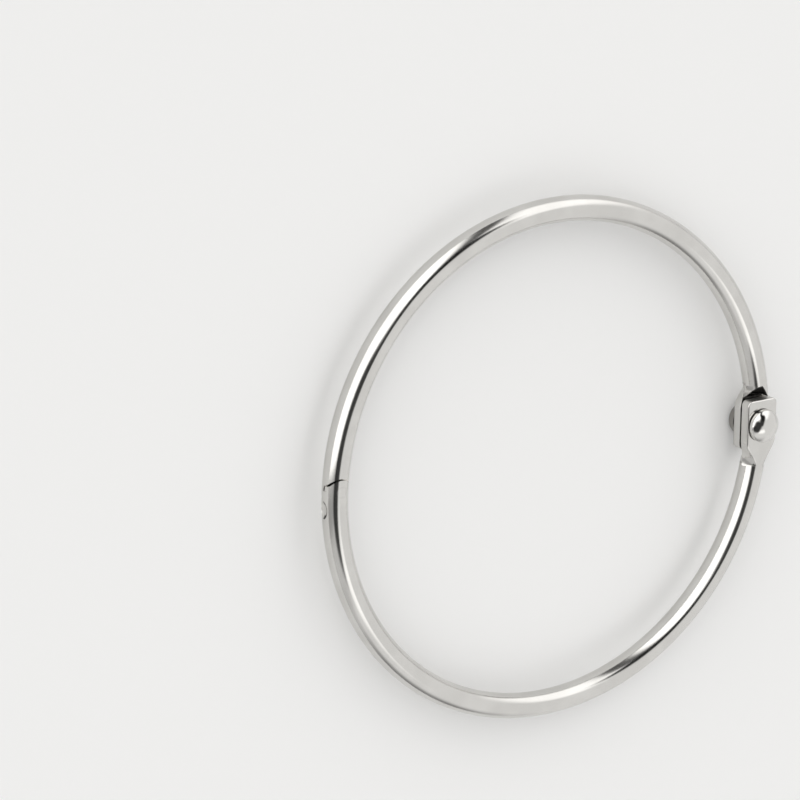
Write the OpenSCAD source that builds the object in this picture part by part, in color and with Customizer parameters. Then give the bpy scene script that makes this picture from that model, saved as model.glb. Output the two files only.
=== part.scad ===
// Split ring of hollow wire for hanging a shower curtain. Two bent halves
// turn on a pin at the hinge (-X) and meet at a riveted latch (+X), where
// two flattened tabs lie one over the other.
// The ring lies in the XY plane round the origin, with its front up (+Z).

/* [Ring] */
// Radius of the ring, to the middle of the wire
ring_r = 30; // [22:0.5:45]
// Diameter of the wire
wire_d = 3; // [2.6:0.1:3.6]
// Diameter of the hollow in the wire
bore_d = 2.4; // [1.4:0.1:2.4]

/* [Latch tabs] */
// Width of a tab across the wire
tab_w = 4.4; // [4:0.1:6]
// Thickness of a tab
tab_t = 1.3; // [0.9:0.05:1.35]
// Length of a tab from the stud to its free end
tab_reach = 3.2; // [2.8:0.1:4.2]
// Radius of a tab's corners, seen from the front
tab_corner_r = 0.7; // [0.3:0.1:1.2]
// Radius of a tab's rounded edges on the outside
tab_edge_r = 0.25; // [0.1:0.05:0.4]
// Radius of a tab's edges where it faces the other tab
tab_back_r = 0.08; // [0.04:0.02:0.2]
// Air between the two tabs
lap_gap = 0.25; // [0.15:0.05:0.5]
// How far the stud stands inside the ring's middle line
tab_inset = 0.2; // [0:0.05:0.5]

/* [Neck] */
// Distance from the stud to where the face narrows on the ring's outer side
outer_from = 1.6; // [1.4:0.1:2.6]
// Distance from the stud to where the face narrows on the ring's inner side
inner_from = 2.2; // [1.4:0.1:2.6]
// Distance from the stud to where the wire is round again
taper_to = 5.4; // [4.8:0.1:7]
// Width of the flat on the wire's crown at the taper's end
neck_w = 0.9; // [0.4:0.1:1.2]
// How far the taper's end stands out from the wire's middle on the inner side
inner_foot = 1.7; // [1.6:0.05:1.9]
// How far it stands out on the outer side, just inside the round wire
outer_foot = 1.45; // [1.35:0.01:1.46]
// How far the ring's inner flank bulges between the flat and the foot
inner_bulge = 0.1; // [0:0.01:0.15]
// How far the ring's outer flank bulges, nearly round
outer_bulge = 0.2; // [0:0.01:0.22]
// Height up the far side of the wire to which the webs on the foot reach
web_top = 1.07; // [0.7:0.01:1.2]
// Step from the round wire down to the neck's pressed back
neck_step = 0.03; // [0.02:0.01:0.06]
// Length over which the flat on the crown runs out past the taper
press_run = 1.6; // [1:0.1:3]
// Length of the slanting cut that opens the wire behind the other tab
scarf_len = 1.6; // [1:0.1:2]
// How far out the slanting cut's straight side comes at its foot
cheek_w = 1.2; // [0.6:0.1:1.4]
// Air between a tab's free end and the foot of the slanting cut
end_gap = 0.2; // [0.1:0.05:0.4]
// Height of the hollow's floor above the foot of the slanting cut
pocket_rise = 0.06; // [0.04:0.02:0.4]
// Diameter of the pocket in which the hollow spreads inward at its floor
pocket_d = 1.9; // [1.2:0.1:2.1]
// How far inside the hollow's middle that pocket's floor lies
pocket_shift = 0.5; // [0.1:0.1:0.6]

/* [Stud] */
// Diameter of the stud's shank
shank_d = 1.5; // [1.2:0.1:2]
// Diameter of the stud's heads
head_d = 4.1; // [3.2:0.1:5]
// Height of the straight side of the front head
head_side = 0.6; // [0.3:0.1:1]
// Height of the front head's dome above its side
head_dome = 0.8; // [0.3:0.1:1]
// Height of the straight side of the rear head
rear_side = 1.1; // [0.6:0.1:1.6]
// Height of the rear head's dome above its side
rear_dome = 0.5; // [0.3:0.1:1]
// Radius of the heads' round rim
head_edge_r = 0.15; // [0.05:0.05:0.3]
// Radius of the soft edge at the heads' foot
head_foot_r = 0.1; // [0.05:0.01:0.15]
// Air between the rear head and the tab that slides under it
head_gap = 0.1; // [0.05:0.05:0.3]
// Air round the shank where it rests in the slot
seat_clear = 0.12; // [0.08:0.01:0.3]
// Air beside the shank in the narrow throat of the slot
throat_clear = 0.05; // [0.03:0.01:0.08]

/* [Hinge] */
// Place of the hinge round the ring, in degrees from the stud
hinge_angle = 177.2; // [170:0.2:184]
// Diameter of the hinge pin
pin_d = 1.2; // [0.8:0.1:1.5]
// Air round the pin in the half that turns on it
pin_clear = 0.04; // [0.02:0.01:0.1]
// Air round the pin in the half that holds it
pin_fit = 0.01; // [0.005:0.005:0.02]
// How much wider the knuckles' rounding is than half the wire
knuckle_over = 0.03; // [0.02:0.01:0.2]
// Air between a round hinge end and the hollow that it turns in
knuckle_gap = 0.09; // [0.06:0.01:0.3]
// Air between the two halves' flat faces at the hinge
hinge_gap = 0.08; // [0.05:0.01:0.2]
// Length of solid wire on each side of the hinge pin
solid_len = 6; // [4:0.5:10]
// Diameter of the round dimple below the hinge
dimple_d = 1.5; // [0.8:0.1:1.8]
// Depth of the dimple
dimple_deep = 0.3; // [0.1:0.05:0.4]
// Distance of the dimple from the hinge pin, along the wire
dimple_at = 2.3; // [2:0.05:3.5]

/* [Hidden] */
$fn = 96;

wire_r = wire_d / 2;
far = wire_d * 2;
steel = [0.76, 0.75, 0.72];

// The tabs lie on either side of the ring's mid-plane
lap_z = lap_gap / 2;
face_z = lap_z + tab_t;

// The flat on the crown lies this little below the tab's face
flush = 0.01;

// How far the round wire runs into its flattened end
neck_lap = 0.2;

// The stud stands at a tab's middle; the slot is an arc round the hinge pin
stud_x = ring_r - tab_inset;
pin_x = ring_r * cos(hinge_angle);
pin_y = ring_r * sin(hinge_angle);
swing_r = norm([stud_x - pin_x, pin_y]);
swing_angle = atan2(-pin_y, stud_x - pin_x);

// The foot, the height and the middle of a tab taper from here
taper_from = (outer_from + inner_from) / 2;

// Slanting cut: it starts past the other tab's end and comes out at the lip
scarf_foot = tab_reach + end_gap;
scarf_drop = wire_r + lap_z;
lip = scarf_foot + scarf_len;
lip_x = sqrt(ring_r * ring_r - lip * lip) - stud_x;

// Height of the flat at the taper's end, where it meets the round wire
neck_z = sqrt(wire_r * wire_r - neck_w * neck_w / 4);

// Where the round wire ends in its flattened end, and where its hollow ends
wire_foot_angle = asin((taper_to - neck_lap) / ring_r);
bore_foot_angle = asin((scarf_foot + pocket_rise) / ring_r);
solid_angle = solid_len / ring_r * 180 / PI;

// Round hinge ends and the hollows round them
knuckle_r = wire_r + knuckle_over;
hollow_r = knuckle_r + knuckle_gap;
knuckle_angle = 1.5 * asin(knuckle_r / ring_r);

// Steps in the taper and the neck's back, a tab's corners, its outer and back
// edges, its flanks, and the round back of the neck
TAPER_STEPS = 12;
NECK_STEPS = 8;
CORNER_STEPS = 6;
EDGE_STEPS = 4;
BACK_STEPS = 2;
FLANK_STEPS = 4;
ROUND_STEPS = 8;

// Soft step from 0 to 1 along the taper, all of it or one side of the face
function fade(s, from) =
    let(t = min(1, max(0, (s - from) / (taper_to - from))))
    t * t * (3 - 2 * t);
function taper(s) = fade(s, taper_from);

// How much a corner of radius r takes off at a distance d from the end
function round_off(d, r) = d >= r ? 0 : r - sqrt(max(0, r * r - (r - d) * (r - d)));

// A tab's middle, how far a side of its face or foot stands out from that,
// and its height, at a distance s from the stud, down the wire
function middle_x(s) = stud_x + taper(s) * (sqrt(ring_r * ring_r - s * s) - stud_x);
function stand_out(s, from, end) =
    tab_w / 2 + fade(s, from) * (end - tab_w / 2) - round_off(s + tab_reach, tab_corner_r);
function top_z(s) = face_z + taper(s) * (neck_z - face_z) - round_off(s + tab_reach, tab_edge_r);

// A point of a section, across the wire and up, put in its place; sections
// turn from square to the tab until they are square to the bent wire
function place(s, p) =
    let(turn = taper(s) * asin(s / ring_r))
    [middle_x(s) + p.x * cos(turn), -s - p.x * sin(turn), p.y];

// Soft bend of radius r round a corner, coming from point a and going to b
function unit(v) = v / norm(v);
function bend(corner, a, b, r, steps) = [
    for (i = [0 : steps])
        let(t = i / steps)
        corner + r * ((1 - t) * (1 - t) * unit(a - corner) + t * t * unit(b - corner))];

// One side of a tab's section, from its back up the flank to its face
function side(s, from, foot_end, bulge) =
    let(
        foot = [stand_out(s, taper_from, foot_end), lap_z],
        top = [stand_out(s, from, neck_w / 2), top_z(s)],
        rise = top - foot,
        outward = unit([rise.y, -rise.x]) * taper(s) * bulge,
        back_r = tab_back_r * (1 - taper(s) / 2))
    concat(
        bend(foot, [0, lap_z], top, back_r, BACK_STEPS),
        [for (i = [1 : FLANK_STEPS - 1])
            let(t = i / FLANK_STEPS)
            foot + rise * t + outward * 4 * t * (1 - t)],
        bend(top, foot, [0, top.y], tab_edge_r, EDGE_STEPS));

// One side of the neck's back: round as the wire, with a web to the foot that
// comes further up the wire's far side the closer it is to the round wire
function back_side(s, foot_end) =
    let(
        up = sin(90 * (s - tab_reach) / (taper_to - tab_reach)),
        back_r = wire_r - neck_step,
        web_angle = -asin(web_top * up / back_r))
    concat(
        [for (i = [0 : ROUND_STEPS])
            let(angle = -90 + (90 + web_angle) * (i + 0.5) / (ROUND_STEPS + 0.5))
            back_r * [cos(angle), sin(angle)]],
        [[stand_out(s, taper_from, foot_end) - 1.5 * tab_back_r, lap_z + tab_back_r]]);

// Closed section of a flattened end from its outer and its inner side
function section(s, outer, inner) =
    let(last = len(inner) - 1)
    concat(
        [for (p = outer) place(s, p)],
        [for (i = [last : -1 : 0]) place(s, [-inner[i].x, inner[i].y])]);

// Round wire bent to the ring, between two angles
module wire_arc(from, to, d) {
    rotate([0, 0, from])
        rotate_extrude(angle = to - from)
            translate([ring_r, 0])
                circle(d = d);
}

module at_pin() {
    translate([pin_x, pin_y, 0]) children();
}

module at_stud() {
    translate([stud_x, 0, 0]) children();
}

// Flattened end in front of the lap plane: square tab, taper and neck
module tab() {
    corner = [for (i = [CORNER_STEPS : -1 : 0]) tab_corner_r * (1 - sin(90 * i / CORNER_STEPS)) - tab_reach];
    run = [for (i = [0 : TAPER_STEPS]) outer_from + (taper_to - outer_from) * i / TAPER_STEPS];
    skin([
        for (s = concat(corner, run))
            section(s,
                side(s, outer_from, outer_foot, outer_bulge),
                side(s, inner_from, inner_foot, inner_bulge))]);
}

// Back of the neck, past the other tab's end and up to the round wire
module neck_back() {
    run = [for (i = [0 : NECK_STEPS]) tab_reach + (taper_to - tab_reach) * i / NECK_STEPS];
    skin([for (s = run) section(s, back_side(s, outer_foot), back_side(s, inner_foot))]);
}

// Closed skin over a row of flat loops that have equally many points
module skin(loops) {
    count = len(loops[0]);
    last = (len(loops) - 1) * count;
    faces = [
        for (k = [0 : len(loops) - 2], i = [0 : count - 1])
            let(a = k * count + i, b = k * count + (i + 1) % count)
            [a, a + count, b + count, b]];
    near = [for (i = [0 : count - 1]) i];
    far_end = [for (i = [count - 1 : -1 : 0]) last + i];
    polyhedron([for (loop = loops, p = loop) p], concat(faces, [near, far_end]));
}

// Flattened end of a half, opened by the slanting cut past the other tab
module latch_end() {
    difference() {
        union() {
            tab();
            difference() {
                neck_back();
                behind_tab();
                intersection() {
                    scarf();
                    cheek();
                }
            }
        }
        pocket();
    }
}

// Spread foot of the hollow: a bore that runs from the wire's middle at the
// taper's end inward to the hollow's floor
module pocket() {
    floor_s = scarf_foot + pocket_rise;
    run = [
        sqrt(ring_r * ring_r - taper_to * taper_to) - sqrt(ring_r * ring_r - floor_s * floor_s) + pocket_shift,
        taper_to - floor_s];
    translate([sqrt(ring_r * ring_r - floor_s * floor_s) - pocket_shift, -floor_s, 0])
        rotate([90, 0, atan2(run.x, run.y)])
            cylinder(d = pocket_d, h = norm(run));
}

// Shape drawn as distance from the stud and height, and run across the wire
module across_wire() {
    translate([stud_x + tab_w, 0, 0])
        rotate([90, 0, -90])
            linear_extrude(2 * tab_w)
                children();
}

// Space above the wire where the flat on its crown runs out
module pressed_crown() {
    run_out = taper_to + press_run;
    across_wire()
        polygon([
            [taper_to - 2 * neck_lap, neck_z - flush],
            [taper_to, neck_z - flush],
            [run_out, wire_r],
            [run_out, far],
            [taper_to - 2 * neck_lap, far]]);
}

// Space behind a tab, which the other tab needs
module behind_tab() {
    across_wire()
        translate([-far, lap_z + tab_back_r / 2 - far])
            square([far + scarf_foot, far]);
}

// Wedge below the slanting cut, from the lap plane down past the wire
module scarf() {
    across_wire()
        translate([scarf_foot, lap_z])
            polygon([
                [0, flush],
                [0, 0],
                [2 * scarf_len, -2 * scarf_drop],
                [-end_gap, -2 * scarf_drop],
                [-end_gap, flush]]);
}

// Space on the inner side of the slanting cut's straight side
module cheek() {
    over = 0.4;
    at_stud()
        linear_extrude(2 * far, center = true)
            polygon([
                [lip_x - over * cheek_w, -lip - over * scarf_len],
                [lip_x + (1 + over) * cheek_w, -scarf_foot + over * scarf_len],
                [-tab_w, -scarf_foot + over * scarf_len],
                [-tab_w, -lip - over * scarf_len]]);
}

// Bent wire of a half with its solid half-lap end. In front (side = 1) or
// behind (side = -1) the wire runs past the pin as a round knuckle, and on
// the other side it is hollowed out round the other half's knuckle.
module hinged_wire(side, from, to) {
    difference() {
        wire_arc(from, to, wire_d);
        at_pin() {
            translate([0, 0, side * (hinge_gap / 2 - far / 2)])
                cylinder(r = hollow_r, h = far, center = true);
            rotate([0, 0, hinge_angle]) difference() {
                translate([0, -side * far / 2, 0]) cube(far, center = true);
                cylinder(r = knuckle_r, h = 2 * far, center = true);
            }
        }
    }
}

module pin_hole(clear) {
    at_pin() cylinder(d = pin_d + 2 * clear, h = far, center = true);
}

// Half with the rear tab, the slot and the rear hinge knuckle
module upper_half() {
    color(steel) difference() {
        union() {
            difference() {
                hinged_wire(-1, wire_foot_angle, hinge_angle + knuckle_angle);
                rotate([180, 0, 0]) pressed_crown();
            }
            rotate([180, 0, 0]) latch_end();
        }
        wire_arc(bore_foot_angle, hinge_angle - solid_angle, bore_d);
        pin_hole(pin_clear);
        stud_slot();
    }
}

// Open slot in the rear tab: a round seat for the stud's shank, and a
// narrower throat that follows the shank's path as the ring swings open
module stud_slot() {
    at_stud() cylinder(d = shank_d + 2 * seat_clear, h = far, center = true);
    throat_w = shank_d + 2 * throat_clear;
    throat_angle = (tab_reach + tab_corner_r) / swing_r * 180 / PI;
    at_pin()
        rotate([0, 0, swing_angle - throat_angle])
            rotate_extrude(angle = throat_angle, $fn = 720)
                translate([swing_r - throat_w / 2, -far / 2])
                    square([throat_w, far]);
}

// Half with the front tab, the stud's hole and the front hinge knuckle
module lower_half() {
    color(steel) difference() {
        union() {
            difference() {
                hinged_wire(1, hinge_angle - knuckle_angle, 360 - wire_foot_angle);
                pressed_crown();
            }
            latch_end();
        }
        wire_arc(hinge_angle + solid_angle, 360 - bore_foot_angle, bore_d);
        pin_hole(pin_fit);
        at_stud() cylinder(d = shank_d + 2 * pin_fit, h = far, center = true);
        dimple();
    }
}

// Round dimple pressed into the outside of the wire below the hinge
module dimple() {
    ball_r = (dimple_d * dimple_d / 4 + dimple_deep * dimple_deep) / (2 * dimple_deep);
    rotate([0, 0, hinge_angle + dimple_at / ring_r * 180 / PI])
        translate([ring_r + wire_r + ball_r - dimple_deep, 0, 0])
            sphere(r = ball_r);
}

// Hinge pin, ground flush with the round wire at both ends
module hinge_pin() {
    color(steel) intersection() {
        at_pin() cylinder(d = pin_d, h = far, center = true);
        wire_arc(hinge_angle - knuckle_angle, hinge_angle + knuckle_angle, wire_d);
    }
}

// Rivet that joins the tabs: a domed head in front, a taller one behind
module latch_stud() {
    rear_seat = face_z + head_gap;
    color(steel) at_stud() {
        translate([0, 0, face_z]) stud_head(head_side, head_dome);
        translate([0, 0, -rear_seat]) mirror([0, 0, 1]) stud_head(rear_side, rear_dome);
        translate([0, 0, -rear_seat - head_foot_r])
            cylinder(d = shank_d, h = face_z + rear_seat + 2 * head_foot_r);
    }
}

// Turned head: soft foot, straight side, and a dome that meets the side in a
// round rim tangent to both
module stud_head(side, dome) {
    r = head_d / 2;
    dome_r = (r * r + dome * dome) / (2 * dome);
    dome_z = side + dome - dome_r;
    rim_x = r - head_edge_r;
    rim_rise = sqrt(pow(dome_r - head_edge_r, 2) - rim_x * rim_x);
    rim_z = dome_z + rim_rise;
    reach = 2 * dome_r / rim_rise;
    rotate_extrude() {
        square([r - head_foot_r, rim_z]);
        translate([0, head_foot_r]) square([r, rim_z - head_foot_r]);
        translate([r - head_foot_r, head_foot_r]) circle(r = head_foot_r);
        intersection() {
            translate([rim_x, rim_z]) circle(r = head_edge_r);
            square([r, side + dome]);
        }
        intersection() {
            translate([0, dome_z]) circle(r = dome_r, $fn = 360);
            polygon([[0, dome_z], [reach * rim_x, dome_z + reach * rim_rise], [0, dome_z + reach * rim_rise]]);
            square([r, side + 2 * dome]);
        }
    }
}

upper_half();
lower_half();
hinge_pin();
latch_stud();
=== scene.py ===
import math

import bpy
from mathutils import Matrix, Vector


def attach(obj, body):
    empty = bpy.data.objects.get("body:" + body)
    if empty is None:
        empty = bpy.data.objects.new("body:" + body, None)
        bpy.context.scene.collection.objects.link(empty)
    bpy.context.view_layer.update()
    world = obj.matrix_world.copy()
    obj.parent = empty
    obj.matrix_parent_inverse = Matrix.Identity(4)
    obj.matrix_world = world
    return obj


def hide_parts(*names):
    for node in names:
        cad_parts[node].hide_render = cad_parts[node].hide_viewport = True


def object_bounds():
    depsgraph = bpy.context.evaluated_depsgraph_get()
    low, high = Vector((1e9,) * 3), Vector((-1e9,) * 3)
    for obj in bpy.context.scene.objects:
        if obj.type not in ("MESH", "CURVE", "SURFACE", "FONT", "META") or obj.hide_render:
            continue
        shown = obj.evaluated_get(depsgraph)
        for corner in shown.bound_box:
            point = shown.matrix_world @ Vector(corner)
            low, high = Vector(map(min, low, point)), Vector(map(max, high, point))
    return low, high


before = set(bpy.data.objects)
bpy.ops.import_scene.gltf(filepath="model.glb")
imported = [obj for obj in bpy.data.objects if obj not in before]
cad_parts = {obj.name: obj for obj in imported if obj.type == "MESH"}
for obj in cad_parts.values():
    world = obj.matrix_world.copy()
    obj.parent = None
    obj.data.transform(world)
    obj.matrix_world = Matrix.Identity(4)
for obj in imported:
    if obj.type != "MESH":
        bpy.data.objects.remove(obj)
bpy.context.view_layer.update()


# --- Lower half -------------------------------------------------------------
# Hollow steel wire, bent to half a circle, solid for a short way at the hinge
# and squashed to a flat tab at the latch. Satin nickel plate outside; inside,
# where a slanting cut opens it behind the tab, the steel is bare and dull, with
# its colour painted near black as painted shade.

MM = 0.001
RING_R, WIRE_R, BORE_R = 30 * MM, 1.5 * MM, 1.2 * MM
FAR = 6 * MM

TAB_W, TAB_T, TAB_REACH = 4.4 * MM, 1.3 * MM, 3.2 * MM
TAB_CORNER_R, TAB_EDGE_R, TAB_BACK_R = 0.7 * MM, 0.25 * MM, 0.08 * MM
LAP_Z = 0.125 * MM
FACE_Z = LAP_Z + TAB_T
STUD_X = 29.8 * MM

OUTER_FROM, INNER_FROM, TAPER_TO = 1.6 * MM, 2.2 * MM, 5.4 * MM
TAPER_FROM = (OUTER_FROM + INNER_FROM) / 2
NECK_W, INNER_FOOT, OUTER_FOOT = 0.9 * MM, 1.7 * MM, 1.45 * MM
INNER_BULGE, OUTER_BULGE, CREASE_R = 0.1 * MM, 0.2 * MM, 0.08 * MM
NECK_Z = math.sqrt(WIRE_R ** 2 - NECK_W ** 2 / 4)
NECK_BACK_R, WEB_TOP, NECK_LAP, PRESS_RUN = 1.47 * MM, 1.07 * MM, 0.2 * MM, 1.6 * MM

SCARF_FOOT, SCARF_LEN, CHEEK_W = 3.4 * MM, 1.6 * MM, 1.2 * MM
POCKET_FOOT, POCKET_R, POCKET_SHIFT = 3.46 * MM, 0.95 * MM, 0.5 * MM
SKIM = 0.01 * MM

HINGE = math.radians(177.2)
PIN = Vector((RING_R * math.cos(HINGE), RING_R * math.sin(HINGE), 0))
KNUCKLE_R, HOLLOW_R, HINGE_GAP = 1.42 * MM, 1.62 * MM, 0.08 * MM
SOLID_ANGLE = 6 * MM / RING_R

DIMPLE_R, DIMPLE_DEEP, DIMPLE_AT = 0.75 * MM, 0.3 * MM, 2.15 * MM
DIMPLE_STRETCH, DIMPLE_HALF_W = 1.35, 0.595 * MM
DIMPLE_ANGLE = HINGE + DIMPLE_AT / RING_R


class Field:
    """A node socket that can be used in sums and products."""

    def __init__(self, tree, socket):
        self.tree, self.socket = tree, socket

    def math(self, operation, *values):
        out = node(self.tree, "ShaderNodeMath", {"operation": operation}, list(values))
        return Field(self.tree, out.outputs[0])

    def __add__(self, other):
        return self.math("ADD", self, other)

    def __radd__(self, other):
        return self.math("ADD", other, self)

    def __sub__(self, other):
        return self.math("SUBTRACT", self, other)

    def __rsub__(self, other):
        return self.math("SUBTRACT", other, self)

    def __mul__(self, other):
        return self.math("MULTIPLY", self, other)

    def __rmul__(self, other):
        return self.math("MULTIPLY", other, self)

    def __truediv__(self, other):
        return self.math("DIVIDE", self, other)

    def clamped(self):
        return self.math("MINIMUM", self.math("MAXIMUM", self, 0.0), 1.0)

    def between(self, low, high):
        """0 below low, 1 above high, and a smooth rise from one to the other."""
        out = node(self.tree, "ShaderNodeMapRange", {"interpolation_type": "SMOOTHSTEP"},
                   {"Value": self, "From Min": low, "From Max": high})
        return Field(self.tree, out.outputs["Result"])


def node(tree, kind, settings, values):
    """A new node with its settings made first, then its sockets' values or links."""
    n = tree.nodes.new(kind)
    for key, value in settings.items():
        setattr(n, key, value)
    pairs = enumerate(values) if isinstance(values, list) else values.items()
    for key, value in pairs:
        if isinstance(value, Field):
            tree.links.new(value.socket, n.inputs[key])
        elif isinstance(value, bpy.types.NodeSocket):
            tree.links.new(value, n.inputs[key])
        else:
            n.inputs[key].default_value = value
    return n


def blank_material(name):
    material = bpy.data.materials.new(name)
    material.use_nodes = True
    material.node_tree.nodes.clear()
    return material, material.node_tree


def object_place(tree):
    return node(tree, "ShaderNodeTexCoord", {}, {}).outputs["Object"]


def noise(tree, place, per_metre, detail):
    made = node(tree, "ShaderNodeTexNoise", {},
                {"Vector": place, "Scale": per_metre, "Detail": detail})
    return Field(tree, made.outputs["Fac"])


def blend(tree, share, first, second):
    """From the first colour to the second; each is a colour or an earlier blend."""
    mixed = node(tree, "ShaderNodeMix", {"data_type": "RGBA"}, {0: share, 6: first, 7: second})
    return mixed.outputs[2]


GRAIN_PER_M, CLOUDS_PER_M, GRAIN_DEPTH = 9000.0, 260.0, 0.01 * MM
CLOUD_SHEEN, GRAIN_SHEEN, DULLER_BY = 0.35, 0.5, 0.32


def satin_nickel(name, light, deep, roughness, grain, dull=None, painted_shades=()):
    """Plated steel with a very fine, soft grain and slow changes of sheen, dull
    where a mask says so, and with painted shades, each a mask and a darker colour."""
    material, tree = blank_material(name)
    place = object_place(tree)
    grit = noise(tree, place, GRAIN_PER_M, 2.0)
    cloud = noise(tree, place, CLOUDS_PER_M, 4.0)
    tone = blend(tree, cloud.between(0.3, 0.7), (*deep, 1), (*light, 1))
    split = node(tree, "ShaderNodeSeparateXYZ", {}, {0: place}).outputs
    at = [Field(tree, split[axis]) for axis in range(3)]
    for mask, colour in painted_shades:
        tone = blend(tree, mask(*at), tone, (*colour, 1))
    sheen = (roughness + (cloud - 0.5) * (CLOUD_SHEEN * roughness)
             + (grit - 0.5) * (GRAIN_SHEEN * roughness))
    if dull:
        sheen = sheen + dull(*at) * DULLER_BY
    bump = node(tree, "ShaderNodeBump", {},
                {"Strength": grain, "Distance": GRAIN_DEPTH, "Height": grit})
    metal = node(tree, "ShaderNodeBsdfPrincipled", {}, {
        "Base Color": tone, "Metallic": 1.0,
        "Roughness": sheen.clamped(), "Normal": bump.outputs["Normal"]})
    node(tree, "ShaderNodeOutputMaterial", {}, {"Surface": metal.outputs[0]})
    return material


SCALE_PER_M = 1800.0


def bare_steel_with_painted_shade(name):
    """The dull inside of the hollow wire, bare steel whose near-black colour is painted shade."""
    material, tree = blank_material(name)
    patch = noise(tree, object_place(tree), SCALE_PER_M, 3.0)
    tone = blend(tree, patch.between(0.35, 0.7), (0.03, 0.028, 0.026, 1), (0.09, 0.085, 0.08, 1))
    metal = node(tree, "ShaderNodeBsdfPrincipled", {}, {
        "Base Color": tone, "Metallic": 0.5, "Roughness": 0.55 + patch * 0.25})
    node(tree, "ShaderNodeOutputMaterial", {}, {"Surface": metal.outputs[0]})
    return material


RIM_FROM, RIM_TO, RIM_SIDE_FADE = 0.55, 1.0, 0.2 * MM


def dimple_rim_shade(x, y, z):
    """1 in the painted shade, a dark line just inside the stake mark's rim, on its front side."""
    along = (y * math.cos(DIMPLE_ANGLE) - x * math.sin(DIMPLE_ANGLE)) / (DIMPLE_STRETCH * DIMPLE_R)
    outward = x * math.cos(DIMPLE_ANGLE) + y * math.sin(DIMPLE_ANGLE)
    across = z / DIMPLE_HALF_W
    reach = along * along + across * across
    reach = reach.math("SQRT", reach)
    return (outward.between(RING_R, RING_R + RIM_SIDE_FADE) * z.between(-RIM_SIDE_FADE, 0.1 * MM)
            * reach.between(RIM_FROM, RIM_FROM + 0.13) * (1 - reach.between(RIM_TO, RIM_TO + 0.05)))


EDGE_X, EDGE_FROM, EDGE_TO, EDGE_TOP = 26.5 * MM, -3.0 * MM, 3.28 * MM, 1.22 * MM


def sheared_edge(x, y, z):
    """1 on the tabs' cut edges, which are duller than their pressed faces."""
    past, up = y * z.math("SIGN", z), z.math("ABSOLUTE", z)
    along = (past.between(EDGE_FROM, EDGE_FROM + 1.8 * MM)
             * (1 - past.between(EDGE_TO, EDGE_TO + 0.1 * MM)))
    return (x.between(EDGE_X, EDGE_X + 0.5 * MM) * along * up.between(0.1 * MM, 0.2 * MM)
            * (1 - up.between(EDGE_TOP, EDGE_TOP + 0.14 * MM)))


# Near-black painted shade in the stake mark's rim; the two tones differ at random.
plate = satin_nickel("satin_nickel", (0.66, 0.65, 0.63), (0.61, 0.60, 0.58), 0.13, 0.2,
                     dull=sheared_edge, painted_shades=((dimple_rim_shade, (0.03, 0.028, 0.025)),))
# The inside is painted near black, as painted shade in the hollow and on the lap strip.
inside = bare_steel_with_painted_shade("bare_inside_painted_shade")


def bent_wire_tree():
    """Round wire along an arc in the ring's plane, closed at both ends."""
    tree = bpy.data.node_groups.new("bent_wire", "GeometryNodeTree")
    for name, kind in (("Ring Radius", "Float"), ("Wire Radius", "Float"), ("Start", "Float"),
                       ("Sweep", "Float"), ("Steps Along", "Int"), ("Steps Round", "Int"),
                       ("Metal", "Material")):
        tree.interface.new_socket(name=name, in_out="INPUT", socket_type="NodeSocket" + kind)
    tree.interface.new_socket(name="Wire", in_out="OUTPUT", socket_type="NodeSocketGeometry")
    given = node(tree, "NodeGroupInput", {}, {}).outputs
    arc = node(tree, "GeometryNodeCurveArc", {"mode": "RADIUS"}, {
        "Resolution": given["Steps Along"], "Radius": given["Ring Radius"],
        "Start Angle": given["Start"], "Sweep Angle": given["Sweep"]})
    ring = node(tree, "GeometryNodeCurvePrimitiveCircle", {"mode": "RADIUS"}, {
        "Resolution": given["Steps Round"], "Radius": given["Wire Radius"]})
    tube = node(tree, "GeometryNodeCurveToMesh", {}, {
        "Curve": arc.outputs["Curve"], "Profile Curve": ring.outputs["Curve"], "Fill Caps": True})
    real = node(tree, "GeometryNodeRealizeInstances", {}, {"Geometry": tube.outputs["Mesh"]})
    dressed = node(tree, "GeometryNodeSetMaterial", {}, {
        "Geometry": real.outputs[0], "Material": given["Metal"]})
    node(tree, "NodeGroupOutput", {}, {0: dressed.outputs[0]})
    return tree


wire_tree = bent_wire_tree()


def bent_wire(name, start, end, radius, material, along=360, around=96):
    """A plain mesh of the bent wire between two angles round the ring."""
    holder = bpy.data.objects.new(name, bpy.data.meshes.new(name))
    bpy.context.collection.objects.link(holder)
    modifier = holder.modifiers.new("wire", "NODES")
    modifier.node_group = wire_tree
    given = {"Ring Radius": RING_R, "Wire Radius": radius, "Start": start, "Sweep": end - start,
             "Steps Along": along, "Steps Round": around, "Metal": material}
    for socket in wire_tree.interface.items_tree:
        if socket.in_out == "INPUT":
            modifier[socket.identifier] = given[socket.name]
    return as_mesh(holder)


def as_mesh(holder):
    """The object with its modifiers applied to a mesh of its own."""
    bpy.context.view_layer.update()
    seen = holder.evaluated_get(bpy.context.evaluated_depsgraph_get())
    mesh = bpy.data.meshes.new_from_object(seen)
    holder.modifiers.clear()
    holder.data = mesh
    return holder


def solid(name, points, faces, material):
    mesh = bpy.data.meshes.new(name)
    mesh.from_pydata([tuple(p) for p in points], [], faces)
    mesh.materials.append(material)
    mesh.update()
    made = bpy.data.objects.new(name, mesh)
    bpy.context.collection.objects.link(made)
    return made


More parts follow.
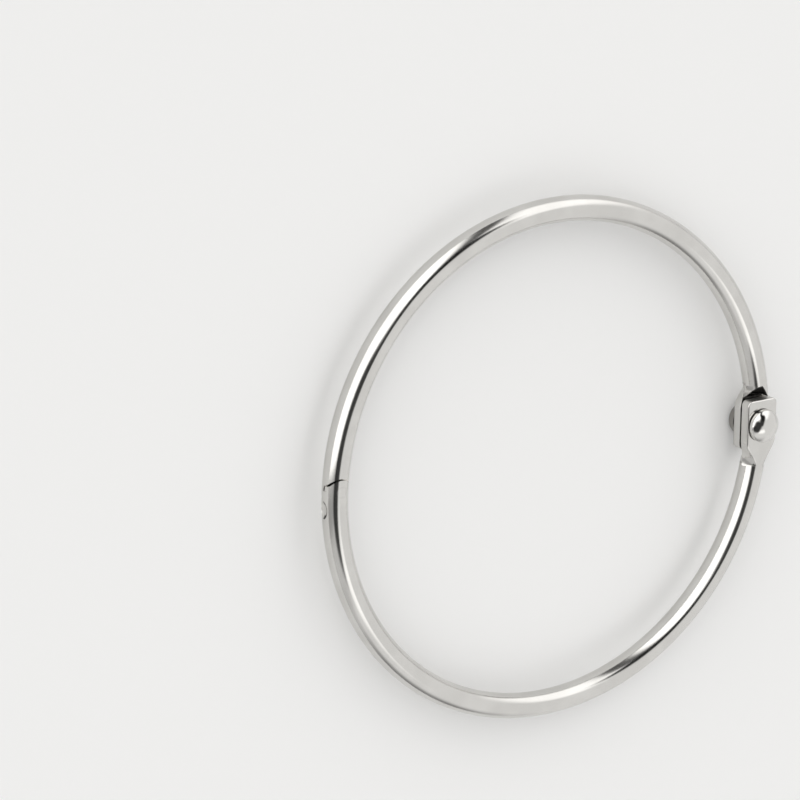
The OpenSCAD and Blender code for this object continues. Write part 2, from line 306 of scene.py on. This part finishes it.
def lathe(name, profile, centre, material, steps=96):
    """Turned solid from (radius, z) points; the first and last lie on the axis."""
    points = [Vector((0, 0, profile[0][1])) + centre]
    angles = [2 * math.pi * i / steps for i in range(steps)]
    for r, z in profile[1:-1]:
        points += [centre + Vector((r * math.cos(a), r * math.sin(a), z)) for a in angles]
    points.append(Vector((0, 0, profile[-1][1])) + centre)
    faces, loops = [], len(profile) - 2
    for i in range(steps):
        j = (i + 1) % steps
        faces.append((0, 1 + j, 1 + i))
        for k in range(loops - 1):
            a = 1 + k * steps
            faces.append((a + i, a + j, a + steps + j, a + steps + i))
        last = 1 + (loops - 1) * steps
        faces.append((len(points) - 1, last + i, last + j))
    return solid(name, points, faces, material)


def post(name, radius, low, high, centre, material):
    profile = [(0, low), (radius, low), (radius, high), (0, high)]
    return lathe(name, profile, centre, material)


def prism(name, outline, low, high, moved, material):
    """Upright solid over an outline of (x, y) points, then moved by a matrix."""
    n = len(outline)
    twice_area = sum(x0 * y1 - x1 * y0
                     for (x0, y0), (x1, y1) in zip([outline[-1]] + outline[:-1], outline))
    if twice_area < 0:
        outline = outline[::-1]
    points = [moved @ Vector((x, y, z)) for z in (low, high) for x, y in outline]
    faces = [tuple(range(n - 1, -1, -1)), tuple(range(n, 2 * n))]
    faces += [(i, (i + 1) % n, n + (i + 1) % n, n + i) for i in range(n)]
    return solid(name, points, faces, material)


def combine(target, tool, operation):
    """Joins a solid to the target or takes it away, and drops the tool."""
    modifier = target.modifiers.new("cut", "BOOLEAN")
    modifier.operation, modifier.object = operation, tool
    modifier.solver, modifier.material_mode = "EXACT", "TRANSFER"
    as_mesh(target)
    bpy.data.objects.remove(tool)
    return target


def spread(low, high, steps):
    return [low + (high - low) * i / steps for i in range(steps + 1)]


def fade(s, start):
    """Soft step from 0 to 1 along the taper."""
    t = min(1, max(0, (s - start) / (TAPER_TO - start)))
    return t * t * (3 - 2 * t)


def round_off(distance, radius):
    """How much a rounded end takes off at a distance from the end."""
    if distance >= radius:
        return 0
    return radius - math.sqrt(max(0, radius ** 2 - (radius - distance) ** 2))


def stand_out(s, start, end):
    """How far the section's side lies from its middle, s past the stud."""
    return TAB_W / 2 + fade(s, start) * (end - TAB_W / 2) - round_off(s + TAB_REACH, TAB_CORNER_R)


def middle_x(s):
    return STUD_X + fade(s, TAPER_FROM) * (math.sqrt(RING_R ** 2 - s ** 2) - STUD_X)


def section_point(s, across, up):
    """A point of the section at s, which turns until it is square to the wire."""
    turn = fade(s, TAPER_FROM) * math.asin(s / RING_R)
    return Vector((middle_x(s) + across * math.cos(turn), -s - across * math.sin(turn), up))


def bend(corner, start, end, radius, steps):
    """Rounded corner between the directions of two other corners."""
    a, b = (start - corner).normalized(), (end - corner).normalized()
    return [corner + radius * ((1 - t) ** 2 * a + t ** 2 * b) for t in spread(0, 1, steps)]


def tab_side(s, start, foot_end, bulge):
    """One side of a tab's section, from its back up the flank to its face."""
    k = fade(s, TAPER_FROM)
    face_z = FACE_Z + k * (NECK_Z - FACE_Z) - round_off(s + TAB_REACH, TAB_EDGE_R)
    foot = Vector((stand_out(s, TAPER_FROM, foot_end), LAP_Z))
    top = Vector((stand_out(s, start, NECK_W / 2), face_z))
    rise = top - foot
    outward = Vector((rise.y, -rise.x)).normalized() * k * bulge
    flank = [foot + rise * t + outward * 4 * t * (1 - t) for t in spread(0, 1, 12)[2:-2]]
    edge_r = TAB_EDGE_R + fade(s, start) * (CREASE_R - TAB_EDGE_R)
    return (bend(foot, Vector((0, LAP_Z)), top, TAB_BACK_R * (1 - k / 2), 6) + flank
            + bend(top, foot, Vector((0, face_z)), edge_r, 12))


BACK_STEPS = 32


def back_side(s, foot_end):
    """One side of the neck's back: round, with a web up to the tab's foot."""
    up = math.sin(math.pi / 2 * (s - TAB_REACH) / (TAPER_TO - TAB_REACH))
    web_angle = -math.asin(WEB_TOP * up / NECK_BACK_R)
    lowest = -math.pi / 2
    angles = [lowest + (web_angle - lowest) * (i + 0.5) / (BACK_STEPS + 0.5)
              for i in range(BACK_STEPS + 1)]
    web_top = Vector((stand_out(s, TAPER_FROM, foot_end) - 1.5 * TAB_BACK_R, LAP_Z + TAB_BACK_R))
    return [Vector((math.cos(a), math.sin(a))) * NECK_BACK_R for a in angles] + [web_top]


def skin(name, stations, outer, inner, material):
    """Closed solid over a row of sections, each given by its outer and inner side."""
    points, faces = [], []
    for s in stations:
        points += [section_point(s, p.x, p.y) for p in outer(s)]
        points += [section_point(s, -p.x, p.y) for p in reversed(inner(s))]
    n, last = len(outer(stations[0])) + len(inner(stations[0])), len(stations) - 1
    for k in range(last):
        for i in range(n):
            a, b = k * n + i, k * n + (i + 1) % n
            faces.append((a, b, b + n, a + n))
    faces += [tuple(reversed(range(n))), tuple(last * n + i for i in range(n))]
    return solid(name, points, faces, material)


def across_wire(name, outline, material):
    """Cutter drawn as distance from the stud and height, run across the wire."""
    sideways = Matrix(((0, 0, -1, STUD_X), (-1, 0, 0, 0), (0, 1, 0, 0), (0, 0, 0, 1)))
    return prism(name, outline, -TAB_W, TAB_W, sideways, material)


def slanting_cut(material):
    """Wedge below the slanting cut, ending outward at the straight cheek."""
    low, top = LAP_Z - 2 * (WIRE_R + LAP_Z), LAP_Z + SKIM
    wedge = across_wire("scarf", [
        (SCARF_FOOT, LAP_Z), (SCARF_FOOT + 2 * SCARF_LEN, low),
        (TAB_REACH, low), (TAB_REACH, top), (SCARF_FOOT, top)], material)
    lip = SCARF_FOOT + SCARF_LEN
    lip_x = math.sqrt(RING_R ** 2 - lip ** 2)
    past = 0.4
    inward, near, beyond = STUD_X - TAB_W, -SCARF_FOOT + past * SCARF_LEN, -lip - past * SCARF_LEN
    cheek = prism("cheek", [
        (lip_x - past * CHEEK_W, beyond), (lip_x + (1 + past) * CHEEK_W, near),
        (inward, near), (inward, beyond)], -FAR, FAR, Matrix(), material)
    return combine(wedge, cheek, "INTERSECT")


def pocket(material):
    """Spread foot of the hollow, which leans inward from the wire's middle."""
    top = Vector((math.sqrt(RING_R ** 2 - TAPER_TO ** 2), -TAPER_TO, 0))
    low = Vector((math.sqrt(RING_R ** 2 - POCKET_FOOT ** 2) - POCKET_SHIFT, -POCKET_FOOT, 0))
    rise = top - low
    made = post("pocket", POCKET_R, 0, rise.length, Vector(), material)
    made.data.transform(Matrix.Translation(low) @ rise.to_track_quat("Z", "Y").to_matrix().to_4x4())
    return made


def latch_end(name, material):
    """Flattened end in front of the lap plane, opened by the slanting cut, whose
    faces are bare steel painted near black as painted shade, as is the strip of
    the lap face between tab and cut."""
    corner = [TAB_CORNER_R * (1 - math.cos(t)) - TAB_REACH for t in spread(0, math.pi / 2, 16)]
    tab = skin(name, corner + spread(OUTER_FROM, TAPER_TO, 60),
               lambda s: tab_side(s, OUTER_FROM, OUTER_FOOT, OUTER_BULGE),
               lambda s: tab_side(s, INNER_FROM, INNER_FOOT, INNER_BULGE), material)
    neck = skin("neck_back", spread(TAB_REACH, TAPER_TO, 40),
                lambda s: back_side(s, OUTER_FOOT), lambda s: back_side(s, INNER_FOOT), material)
    lap = LAP_Z + TAB_BACK_R / 2
    behind = across_wire("behind", [
        (-FAR, -FAR), (SCARF_FOOT, -FAR), (SCARF_FOOT, lap), (-FAR, lap)], material)
    combine(neck, behind, "DIFFERENCE")
    combine(tab, neck, "UNION")
    combine(tab, slanting_cut(inside), "DIFFERENCE")
    return combine(tab, pocket(inside), "DIFFERENCE")


def pressed_crown(material):
    """Space above the wire where the flat on its crown runs out."""
    start, end = TAPER_TO - 2 * NECK_LAP, TAPER_TO + PRESS_RUN
    flat = NECK_Z - SKIM
    return across_wire("crown", [
        (start, flat), (TAPER_TO, flat), (end, WIRE_R), (end, FAR), (start, FAR)], material)


def knuckle_cuts(half, side, material):
    """Half-lap at the hinge: a round knuckle on one side, a hollow on the other."""
    low, high = (-FAR, HINGE_GAP / 2) if side > 0 else (-HINGE_GAP / 2, FAR)
    combine(half, post("hollow", HOLLOW_R, low, high, PIN, material), "DIFFERENCE")
    turn = Matrix.Translation(PIN) @ Matrix.Rotation(HINGE, 4, "Z")
    knuckle = [(KNUCKLE_R * math.cos(t), -side * KNUCKLE_R * math.sin(t))
               for t in spread(0, math.pi, 48)]
    outline = [(FAR, 0)] + knuckle + [(-FAR, 0), (-FAR, -side * FAR), (FAR, -side * FAR)]
    return combine(half, prism("beyond", outline, -FAR, FAR, turn, material), "DIFFERENCE")


def finish_metal(half, body, slot, *nodes):
    """Smooth shading that breaks at the cut edges, then the piece's place."""
    mesh = half.data
    mesh.polygons.foreach_set("use_smooth", [True] * len(mesh.polygons))
    mesh.set_sharp_from_angle(angle=math.radians(32))
    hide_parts(*nodes)
    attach(half, body)
    return half


WIRE_FOOT_ANGLE = math.asin((TAPER_TO - NECK_LAP) / RING_R)
POCKET_ANGLE = math.asin(POCKET_FOOT / RING_R)
KNUCKLE_ANGLE = 1.5 * math.asin(KNUCKLE_R / RING_R)
STUD = Vector((STUD_X, 0, 0))
PIN_R, SHANK_R, PRESS_FIT = 0.6 * MM, 0.75 * MM, 0.01 * MM

lower = bent_wire("lower_wire", HINGE - KNUCKLE_ANGLE, 2 * math.pi - WIRE_FOOT_ANGLE, WIRE_R, plate)
combine(lower, pressed_crown(plate), "DIFFERENCE")
combine(lower, latch_end("front_tab", plate), "UNION")
bore = bent_wire("lower_bore", HINGE + SOLID_ANGLE, 2 * math.pi - POCKET_ANGLE, BORE_R, inside,
                 along=240, around=64)
combine(lower, bore, "DIFFERENCE")
knuckle_cuts(lower, 1, plate)
combine(lower, post("pin_hole", PIN_R + PRESS_FIT, -FAR, FAR, PIN, plate), "DIFFERENCE")
combine(lower, post("stud_hole", SHANK_R + PRESS_FIT, -FAR, FAR, STUD, plate), "DIFFERENCE")

ball_r = (DIMPLE_R ** 2 + DIMPLE_DEEP ** 2) / (2 * DIMPLE_DEEP)
dimple_at = RING_R + WIRE_R + ball_r - DIMPLE_DEEP
ball_profile = [(ball_r * math.sin(t), -ball_r * math.cos(t)) for t in spread(0, math.pi, 48)]
ball = lathe("dimple", ball_profile, Vector(), plate)
ball.data.transform(Matrix.Rotation(DIMPLE_ANGLE, 4, "Z") @ Matrix.Translation((dimple_at, 0, 0))
                    @ Matrix.Diagonal((1, DIMPLE_STRETCH, 1, 1)))
combine(lower, ball, "DIFFERENCE")
lower.name = "lower_half_metal"
finish_metal(lower, "lower", "satin_steel", "lower_half")


# --- Upper half -------------------------------------------------------------
# The same wire, its tab turned over so that it lies behind the other one. An
# open slot in the tab lets it slide off the stud as the ring swings open.

SEAT_R = SHANK_R + 0.12 * MM
THROAT_R, THROAT_RUN = SHANK_R + 0.05 * MM, 4.2 * MM
RUNNING_FIT = 0.04 * MM

upper = bent_wire("upper_wire", WIRE_FOOT_ANGLE, HINGE + KNUCKLE_ANGLE, WIRE_R, plate)
over = Matrix.Rotation(math.pi, 4, "X")
rear_crown, rear_tab = pressed_crown(plate), latch_end("rear_tab", plate)
rear_crown.data.transform(over)
rear_tab.data.transform(over)
combine(upper, rear_crown, "DIFFERENCE")
combine(upper, rear_tab, "UNION")
bore = bent_wire("upper_bore", POCKET_ANGLE, HINGE - SOLID_ANGLE, BORE_R, inside,
                 along=240, around=64)
combine(upper, bore, "DIFFERENCE")
knuckle_cuts(upper, -1, plate)
combine(upper, post("pin_hole", PIN_R + RUNNING_FIT, -FAR, FAR, PIN, plate), "DIFFERENCE")
combine(upper, post("seat", SEAT_R, -FAR, FAR, STUD, plate), "DIFFERENCE")
swing = STUD - PIN
swing_r, swing_angle = swing.length, math.atan2(swing.y, swing.x)
throat_angles = spread(swing_angle, swing_angle - THROAT_RUN / swing_r, 12)
throat = [(r * math.cos(t), r * math.sin(t))
          for r, way in ((swing_r - THROAT_R, 1), (swing_r + THROAT_R, -1))
          for t in throat_angles[::way]]
combine(upper, prism("throat", throat, -FAR, FAR, Matrix.Translation(PIN), plate), "DIFFERENCE")
upper.name = "upper_half_metal"
finish_metal(upper, "upper", "satin_steel", "upper_half")


# --- Hinge pin --------------------------------------------------------------
# A short round pin, ground flush with the wire and plated with it, so that
# only a hairline shows where it ends.

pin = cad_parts["hinge_pin"]
pin.data.materials.clear()
pin.data.materials.append(plate)


# --- Latch stud -------------------------------------------------------------
# A steel rivet with a wide, low head on both sides, brighter than the wire in
# front because it is turned and polished there. Behind, the head is painted a
# darker grey, a painted shade. It is set in the front tab.

HEAD_R, HEAD_EDGE_R, HEAD_FOOT_R = 2.05 * MM, 0.42 * MM, 0.14 * MM
HEAD_SIDE, HEAD_DOME, REAR_SIDE, REAR_DOME = 0.6 * MM, 0.8 * MM, 1.1 * MM, 0.5 * MM
HEAD_GAP = 0.1 * MM
REAR_SEAT = FACE_Z + HEAD_GAP
FRONT_LINE, REAR_LINE, LINE_FADE = 0.14 * MM, 0.06 * MM, 0.1 * MM


def arc(centre_r, centre_z, radius, start, end, steps):
    return [(centre_r + radius * math.cos(t), centre_z + radius * math.sin(t))
            for t in spread(start, end, steps)]


def head_profile(side_h, dome):
    """From the shank out under the head, up its side, round the rim and over."""
    dome_r = (HEAD_R ** 2 + dome ** 2) / (2 * dome)
    dome_z = side_h + dome - dome_r
    rim_x = HEAD_R - HEAD_EDGE_R
    rim_rise = math.sqrt((dome_r - HEAD_EDGE_R) ** 2 - rim_x ** 2)
    meet = math.atan2(rim_rise, rim_x)
    return (arc(HEAD_R - HEAD_FOOT_R, HEAD_FOOT_R, HEAD_FOOT_R, -math.pi / 2, 0, 8)
            + arc(rim_x, dome_z + rim_rise, HEAD_EDGE_R, 0, meet, 16)
            + arc(0, dome_z, dome_r, meet, math.pi / 2, 40)[1:])


def rear_head_shade(x, y, z):
    """1 behind the tabs, where the rear head is painted darker as painted shade, 0 in front."""
    return 1 - z.between(-FACE_Z, -FACE_Z + LINE_FADE)


def foot_shade_line(x, y, z):
    """1 in a painted shade, a dark line where a head meets the tab, and on the shank
    between the heads, which shows only when the ring is open."""
    front_end, rear_end = FACE_Z + FRONT_LINE, -REAR_SEAT - REAR_LINE
    return ((1 - z.between(front_end, front_end + LINE_FADE))
            * z.between(rear_end - LINE_FADE, rear_end))


# The rear head's darker grey and the near-black line at each head's foot are painted shade.
polished = satin_nickel("polished_nickel", (0.68, 0.67, 0.65), (0.65, 0.64, 0.62), 0.07, 0.06,
                        painted_shades=((rear_head_shade, (0.30, 0.29, 0.275)),
                               (foot_shade_line, (0.012, 0.011, 0.01))))
front = [(r, FACE_Z + z) for r, z in head_profile(HEAD_SIDE, HEAD_DOME)]
back = [(r, -REAR_SEAT - z) for r, z in head_profile(REAR_SIDE, REAR_DOME)]
shank = [(SHANK_R, -REAR_SEAT), (SHANK_R, FACE_Z)]
stud = lathe("latch_stud_metal", back[::-1] + shank + front, STUD, polished, 128)
finish_metal(stud, "lower", "polished_steel", "latch_stud")


# --- Floor and background ---------------------------------------------------
# A plain white table that the ring lies on, and the white studio round it.

FLOOR_HALF, FLOOR_DEEP, FLOOR_GAP = 3.0, 0.01, 0.01 * MM

floor_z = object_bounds()[0][2] - FLOOR_GAP
floor_paint, tree = blank_material("floor_white")
matt = node(tree, "ShaderNodeBsdfDiffuse", {}, {"Color": (0.92, 0.92, 0.916, 1)})
node(tree, "ShaderNodeOutputMaterial", {}, {"Surface": matt.outputs[0]})
corners = [(-FLOOR_HALF, -FLOOR_HALF), (FLOOR_HALF, -FLOOR_HALF),
           (FLOOR_HALF, FLOOR_HALF), (-FLOOR_HALF, FLOOR_HALF)]
floor = prism("floor", corners, floor_z - FLOOR_DEEP, floor_z, Matrix(), floor_paint)

# The studio: an even pale room with three broad white panels, the dark gaps
# between them, and a dark strip that runs over the ring from one side of the
# room to the other. It is given by direction round the ring, in degrees.
world = bpy.data.worlds.new("studio")
bpy.context.scene.world = world
world.use_nodes = True
tree = world.node_tree
tree.nodes.clear()
sky = node(tree, "ShaderNodeTexCoord", {}, {}).outputs["Generated"]
way = node(tree, "ShaderNodeSeparateXYZ", {}, {0: sky})
x, y, z = (Field(tree, s) for s in way.outputs)
round_at = y.math("ARCTAN2", y, x) * (180 / math.pi)
height_at = z.math("ARCSINE", z) * (180 / math.pi)


def panel(azimuth, half_width, low, high, soft):
    """1 inside a window of directions, 0 outside, soft at its rim."""
    off = round_at - azimuth
    off = off.math("WRAP", off, 180.0, -180.0)
    across = 1 - off.math("ABSOLUTE", off).between(half_width - soft, half_width + soft)
    above = height_at.between(low - soft, low + soft)
    below = 1 - height_at.between(high - soft, high + soft)
    return across * above * below


def toward(azimuth, height):
    a, h = math.radians(azimuth), math.radians(height)
    return Vector((math.cos(a) * math.cos(h), math.sin(a) * math.cos(h), math.sin(h)))


def along(direction):
    return x * direction.x + y * direction.y + z * direction.z


def strip(start, end, half_width, soft):
    """1 near the arc between two directions, 0 outside, soft at its rim."""
    a, b = toward(*start), toward(*end)
    width, rim, reach = math.radians(half_width), math.radians(soft), a.angle(b) / 2
    off = along(a.cross(b).normalized())
    across = 1 - off.math("ABSOLUTE", off).between(math.sin(width - rim), math.sin(width + rim))
    inward = along((a + b).normalized())
    return across * inward.between(math.cos(reach + rim), math.cos(reach - rim))


level = (0.95
         + 0.88 * panel(141, 47, -60, 63, 3)
         + 0.64 * panel(54, 20, 2, 58, 9)
         + 0.64 * panel(-86, 26, 52, 68, 7)
         - 0.46 * panel(-92, 24, -60, 24, 12)
         - 0.18 * panel(-90, 18, -60, 14, 8)
         - 0.24 * panel(-143, 24, -60, 50, 8)
         - 0.30 * panel(16, 26, -60, 4, 5))
level = level * (1 - 0.88 * panel(83, 7, -60, 52, 3)) * (1 - 0.80 * panel(72, 13, 46, 72, 5))
level = level * (1 - 0.35 * panel(-160, 10, -60, 62, 5))
dark = strip((70, 48), (-150, 82), 11, 4)
dark = dark.math("MAXIMUM", dark, strip((-132, 46), (120, 72), 18, 6))
level = level * (1 - 0.94 * dark)
room = node(tree, "ShaderNodeBackground", {}, {"Color": (1, 0.995, 0.985, 1), "Strength": level})
white = node(tree, "ShaderNodeBackground", {}, {"Color": (1, 1, 1, 1), "Strength": 1.0})
seen = node(tree, "ShaderNodeLightPath", {}, {})
both = node(tree, "ShaderNodeMixShader", {},
            [seen.outputs["Is Camera Ray"], room.outputs[0], white.outputs[0]])
node(tree, "ShaderNodeOutputWorld", {}, {"Surface": both.outputs[0]})


# --- Camera -----------------------------------------------------------------
# Above the ring's front and off to the hinge side, with a long lens.

EYE = Vector((-205.347, 111.037, 288.994)) * MM
RIGHT, UP = (0.843532, 0, 0.537080), (0.150949, 0.959692, -0.237078)
BACK = (-0.515431, 0.281055, 0.809530)
LENS_MM, SENSOR_MM = 143.02, 36

turn = Matrix.Rotation(math.radians(0.3265), 3, "Z")
facing = Matrix((RIGHT, UP, BACK)).transposed()
camera_data = bpy.data.cameras.new("camera")
camera_data.lens, camera_data.sensor_width = LENS_MM, SENSOR_MM
camera_data.clip_start, camera_data.clip_end = 0.01, 10
camera = bpy.data.objects.new("camera", camera_data)
bpy.context.collection.objects.link(camera)
camera.matrix_world = Matrix.Translation(turn @ EYE) @ (turn @ facing).to_4x4()
bpy.context.scene.camera = camera
bpy.context.scene.view_settings.view_transform = "Standard"
